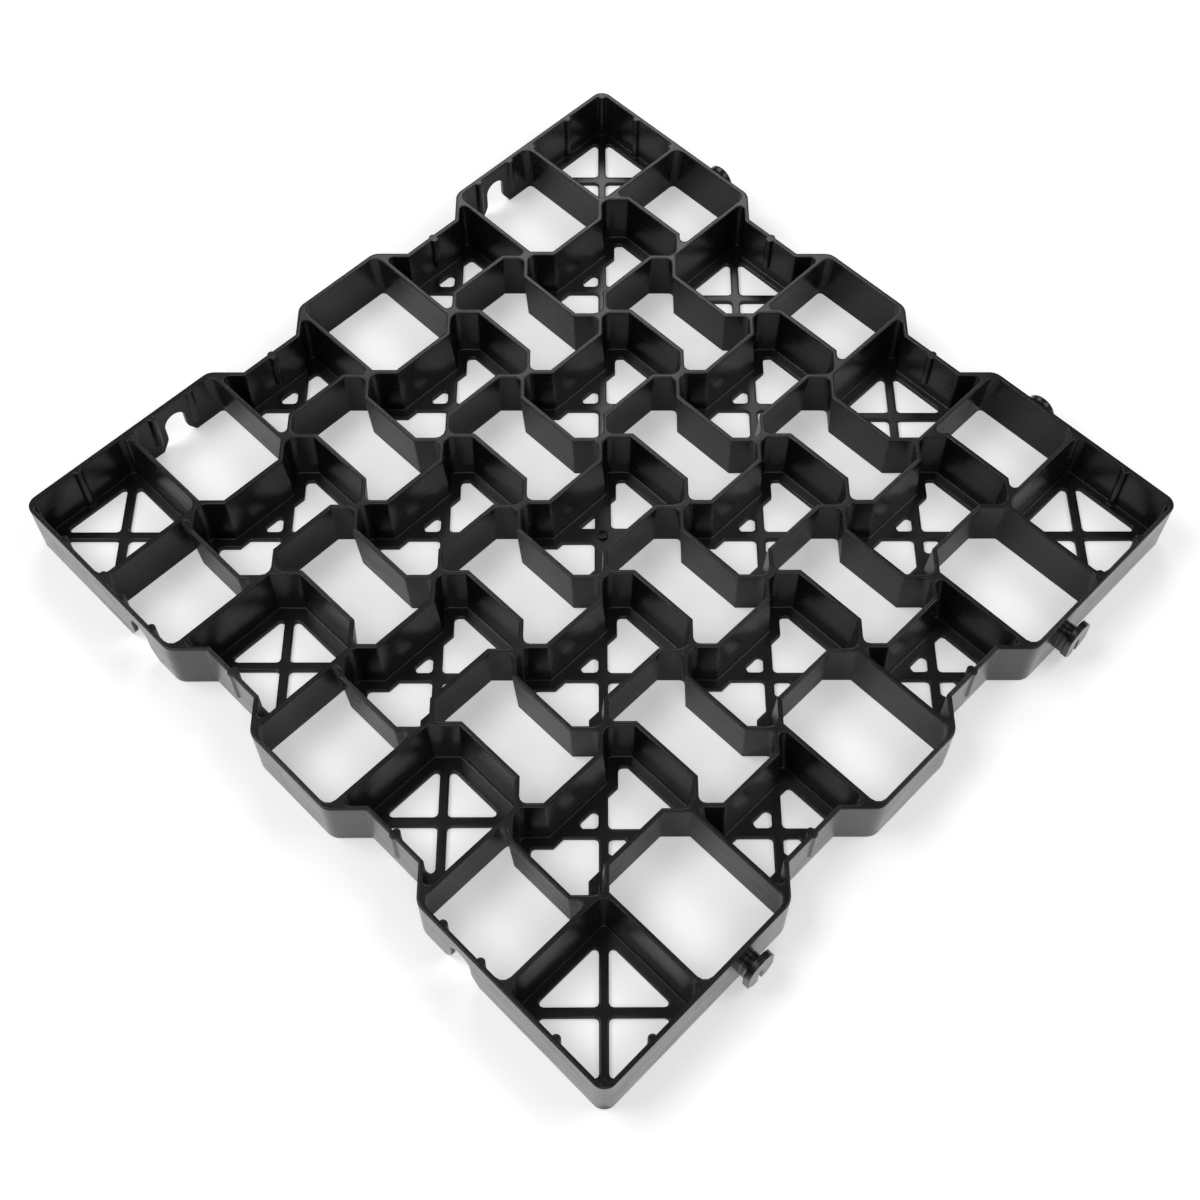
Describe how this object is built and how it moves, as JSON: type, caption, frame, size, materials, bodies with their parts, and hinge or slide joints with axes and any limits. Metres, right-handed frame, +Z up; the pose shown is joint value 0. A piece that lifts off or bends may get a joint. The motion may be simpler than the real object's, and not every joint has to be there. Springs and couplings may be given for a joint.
{
  "type": "grass paver grid",
  "caption": "Square moulded plastic ground grid of woven walls, with open cells beside cells floored by crossed bars, and arched clips and notches that join it to like tiles.",
  "frame": {"origin": "middle of the tile on the ground, under the bar crossing of the middle cell", "axes": "+Z up from the ground to the rims, +X and +Y along the sides, clips on the low Y and high X sides"},
  "size_m": [0.51, 0.51, 0.04],
  "materials": {
    "plastic": "satin black moulded plastic"
  },
  "bodies": {
    "root": {"paver_grid": "plastic"}
  },
  "joints": []
}
